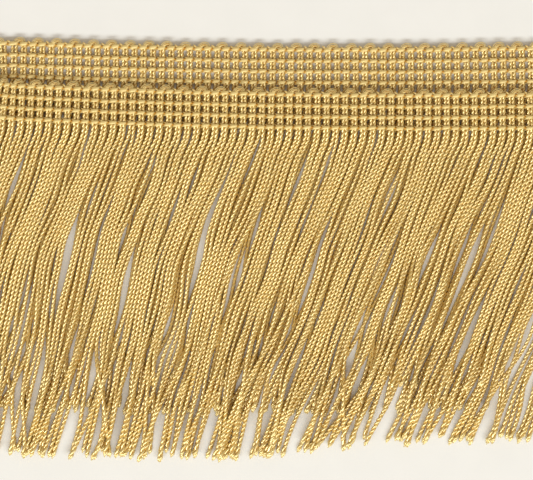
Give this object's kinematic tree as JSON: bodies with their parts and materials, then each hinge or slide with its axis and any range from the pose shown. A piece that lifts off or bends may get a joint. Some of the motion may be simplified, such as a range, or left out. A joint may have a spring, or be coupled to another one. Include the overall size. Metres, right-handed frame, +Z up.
{
  "type": "cut fringe trim",
  "caption": "Cut length of twisted-strand fringe trim with a stitched openwork heading and a scalloped edge, laid double on a surface.",
  "frame": {"origin": "middle of the trim's box, on the surface that it lies on", "axes": "+X along the trim away from its fold, +Y in the surface towards the scalloped edge, +Z up from the surface"},
  "size_m": [0.2198, 0.1158, 0.0049],
  "materials": {
    "heading_yarn": "smooth gold rayon yarn, satin sheen",
    "rear_strands": "two-ply twisted gold rayon cord, satin sheen",
    "front_strands": "two-ply twisted gold rayon cord, satin sheen"
  },
  "bodies": {
    "root": {"heading": "heading_yarn", "fringe_rear": "rear_strands", "fringe_front": "front_strands"}
  },
  "joints": []
}
